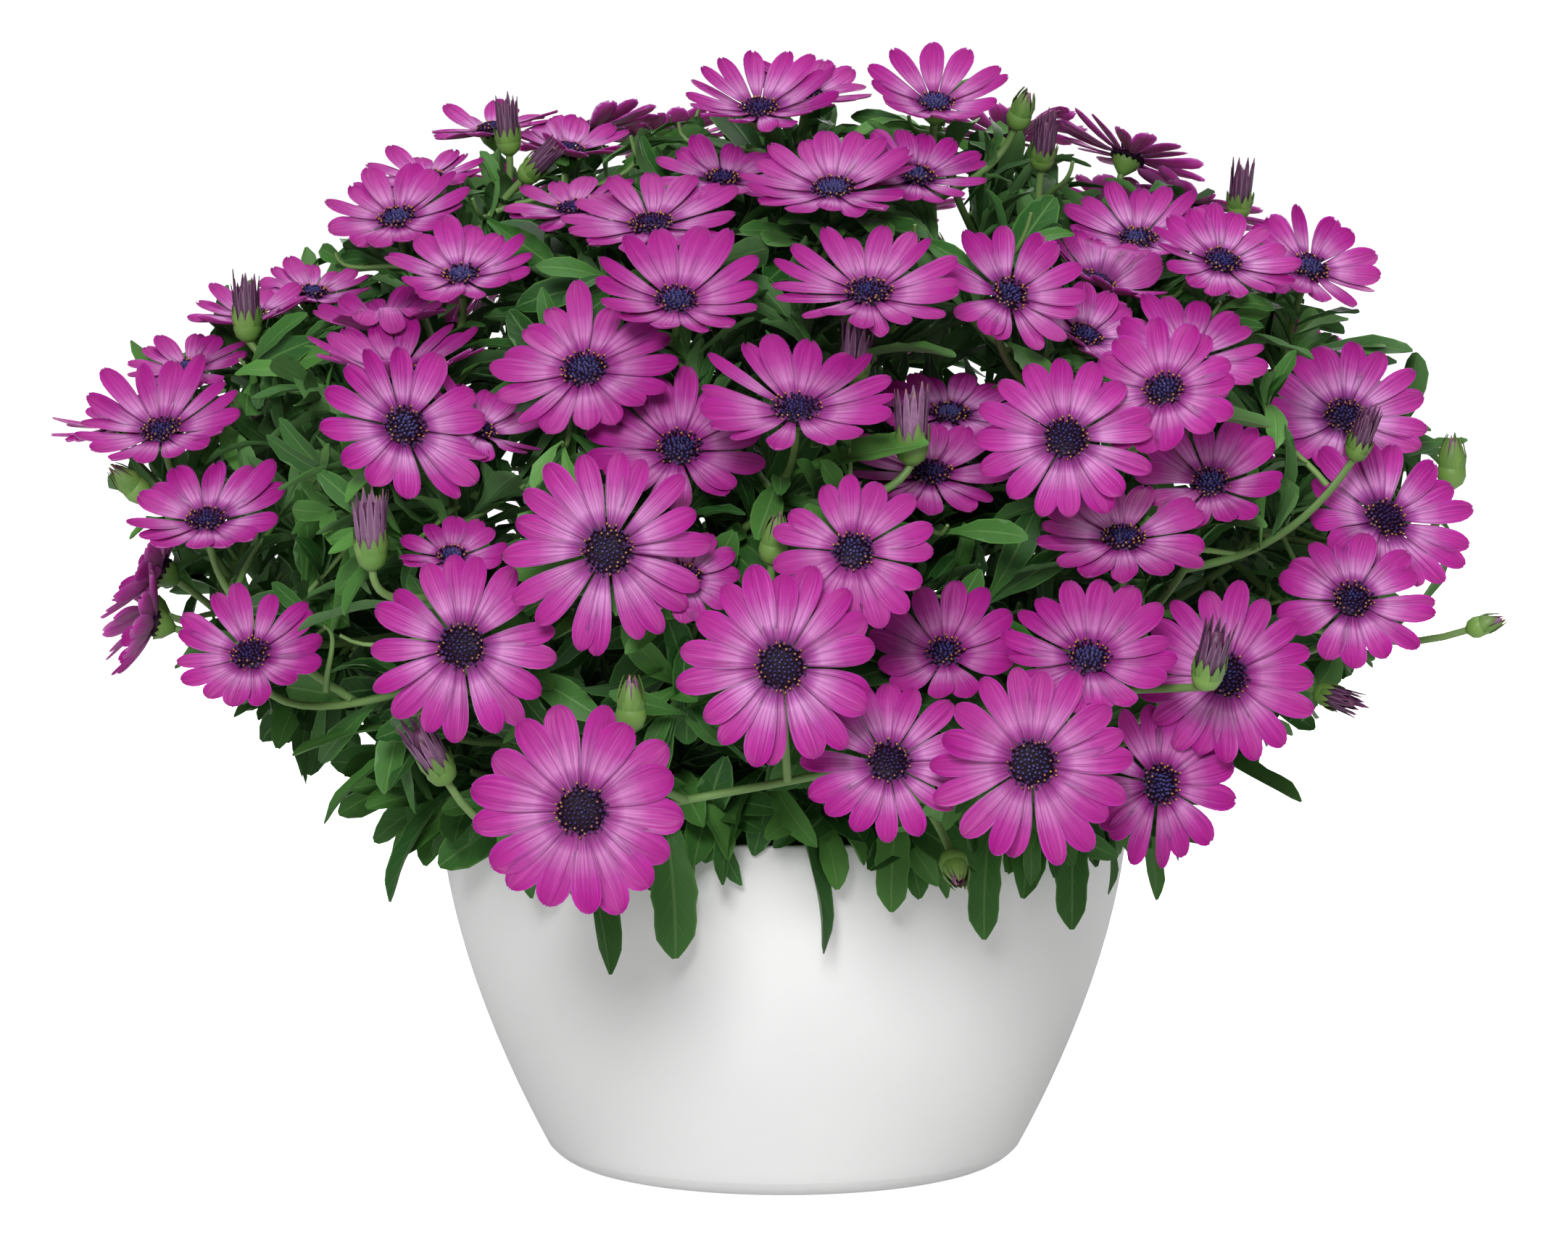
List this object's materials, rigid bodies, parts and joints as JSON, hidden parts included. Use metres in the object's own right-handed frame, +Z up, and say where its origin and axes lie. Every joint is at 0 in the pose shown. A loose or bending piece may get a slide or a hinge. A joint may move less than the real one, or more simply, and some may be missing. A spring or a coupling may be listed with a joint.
{
  "type": "potted osteospermum",
  "caption": "Osteospermum (African daisy) plant in full bloom: a wide dome of purple daisies on leafy stems, growing from soil in a white bowl pot.",
  "frame": {"origin": "centre of the pot's flat underside, on the surface that it stands on", "axes": "+Z up, the plant's growing direction; the show side of the plant faces -Y, with +X to the right of someone who looks at it"},
  "size_m": [0.5121, 0.49, 0.4077],
  "materials": {
    "pot": "satin white",
    "soil": "loose damp potting soil",
    "foliage": "matt leaf and stem",
    "petals": "soft satin petal"
  },
  "bodies": {
    "root": {"pot": "pot", "soil": "soil", "leafy_stem_1": "foliage", "leafy_stem_2": "foliage", "leafy_stem_3": "foliage", "leafy_stem_4": "foliage", "leafy_stem_5": "foliage", "leafy_stem_6": "foliage", "leafy_stem_7": "foliage", "leafy_stem_8": "foliage", "bloom_01": "petals", "bloom_02": "petals", "bloom_03": "petals", "bloom_04": "petals", "bloom_05": "petals", "bloom_06": "petals", "bloom_07": "petals", "bloom_08": "petals", "bloom_09": "petals", "bloom_10": "petals", "bloom_11": "petals", "bloom_12": "petals", "bloom_13": "petals", "bloom_14": "petals", "bloom_15": "petals", "bloom_16": "petals", "bloom_17": "petals", "bloom_18": "petals", "bloom_19": "petals", "bloom_20": "petals", "bloom_21": "petals", "bloom_22": "petals", "bloom_23": "petals", "bloom_24": "petals", "bloom_25": "petals", "bloom_26": "petals", "bloom_27": "petals", "bloom_28": "petals", "bloom_29": "petals", "bloom_30": "petals", "bloom_31": "petals", "bloom_32": "petals", "bloom_33": "petals", "bloom_34": "petals", "bloom_35": "petals", "bloom_36": "petals", "bloom_37": "petals", "bloom_38": "petals", "bloom_39": "petals", "bloom_40": "petals", "bloom_41": "petals", "bloom_42": "petals", "bloom_43": "petals", "bloom_44": "petals", "bloom_45": "petals", "bloom_46": "petals", "bloom_47": "petals", "bloom_48": "petals", "bloom_49": "petals", "bloom_50": "petals"}
  },
  "joints": []
}
